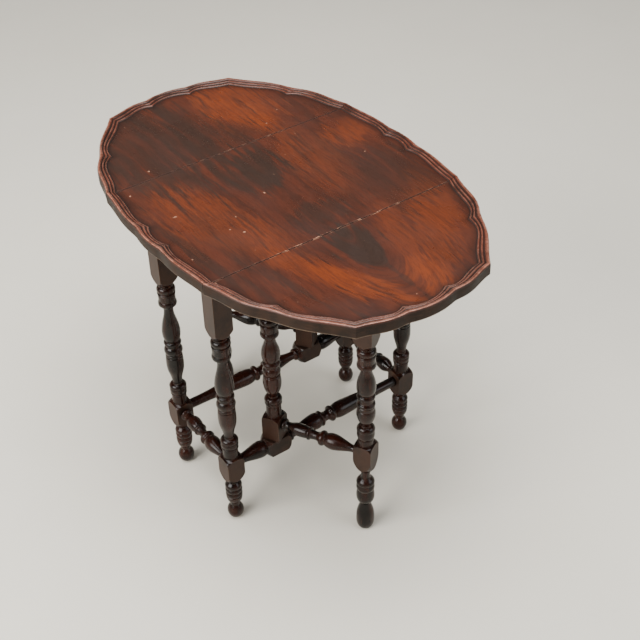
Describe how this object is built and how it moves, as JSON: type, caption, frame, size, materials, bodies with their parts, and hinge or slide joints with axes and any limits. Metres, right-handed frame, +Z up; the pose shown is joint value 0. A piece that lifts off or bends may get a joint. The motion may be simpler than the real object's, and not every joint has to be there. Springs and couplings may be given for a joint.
{
  "type": "gateleg table",
  "caption": "Drop-leaf side table with a scalloped moulded top, turned legs and stretchers, and gate legs that swing out to hold up its leaves.",
  "frame": {"origin": "on the floor under the middle of the top", "axes": "+X across the seams to the front leaf, +Y along the seams, +Z up"},
  "size_m": [0.8038, 0.5274, 0.6135],
  "materials": {
    "mahogany_top": "semi-gloss red-brown varnish, streaky grain, worn rim",
    "dark_turned_wood": "very dark brown stain under semi-gloss varnish",
    "hidden_rails": "dark stained, matt",
    "iron_hinges": "dark, dull",
    "steel_fixings": "dull steel"
  },
  "bodies": {
    "frame": {"leg_front_left": "dark_turned_wood", "leg_front_right": "dark_turned_wood", "leg_back_left": "dark_turned_wood", "leg_back_right": "dark_turned_wood", "side_stretcher_front": "dark_turned_wood", "side_stretcher_back": "dark_turned_wood", "end_stretcher_left": "dark_turned_wood", "end_stretcher_right": "dark_turned_wood", "side_apron_front": "hidden_rails", "side_apron_back": "hidden_rails", "end_apron_left": "hidden_rails", "end_apron_right": "hidden_rails", "glue_blocks": "hidden_rails", "fixed_top": "mahogany_top", "hinge_fixed_flaps_front": "iron_hinges", "hinge_fixed_flaps_back": "iron_hinges", "hinge_pins_front": "steel_fixings", "hinge_pins_back": "steel_fixings", "hinge_screws_fixed_front": "steel_fixings", "hinge_screws_fixed_back": "steel_fixings"},
    "gate_front": {"pivot_post_front": "dark_turned_wood", "gate_leg_front": "dark_turned_wood", "gate_rail_front": "hidden_rails", "gate_stretcher_front": "dark_turned_wood"},
    "gate_back": {"pivot_post_back": "dark_turned_wood", "gate_leg_back": "dark_turned_wood", "gate_rail_back": "hidden_rails", "gate_stretcher_back": "dark_turned_wood"},
    "leaf_front": {"leaf_board_front": "mahogany_top", "hinge_leaf_flaps_front": "iron_hinges", "hinge_screws_leaf_front": "steel_fixings"},
    "leaf_back": {"leaf_board_back": "mahogany_top", "hinge_leaf_flaps_back": "iron_hinges", "hinge_screws_leaf_back": "steel_fixings"}
  },
  "joints": [
    {"name": "gate_front_swing", "type": "hinge", "parent": "frame", "child": "gate_front", "pos_m": [0.0905, -0.0987, 0.3], "axis": [0, 0, 1], "range_deg": [-27, 53]},
    {"name": "gate_back_swing", "type": "hinge", "parent": "frame", "child": "gate_back", "pos_m": [-0.0905, 0.0987, 0.3], "axis": [0, 0, 1], "range_deg": [-36, 43.5]},
    {"name": "leaf_front_lift", "type": "hinge", "parent": "frame", "child": "leaf_front", "pos_m": [0.155, 0, 0.5884], "axis": [0, -1, 0], "range_deg": [0, 2]},
    {"name": "leaf_back_lift", "type": "hinge", "parent": "frame", "child": "leaf_back", "pos_m": [-0.155, 0, 0.5884], "axis": [0, 1, 0], "range_deg": [0, 2]}
  ]
}
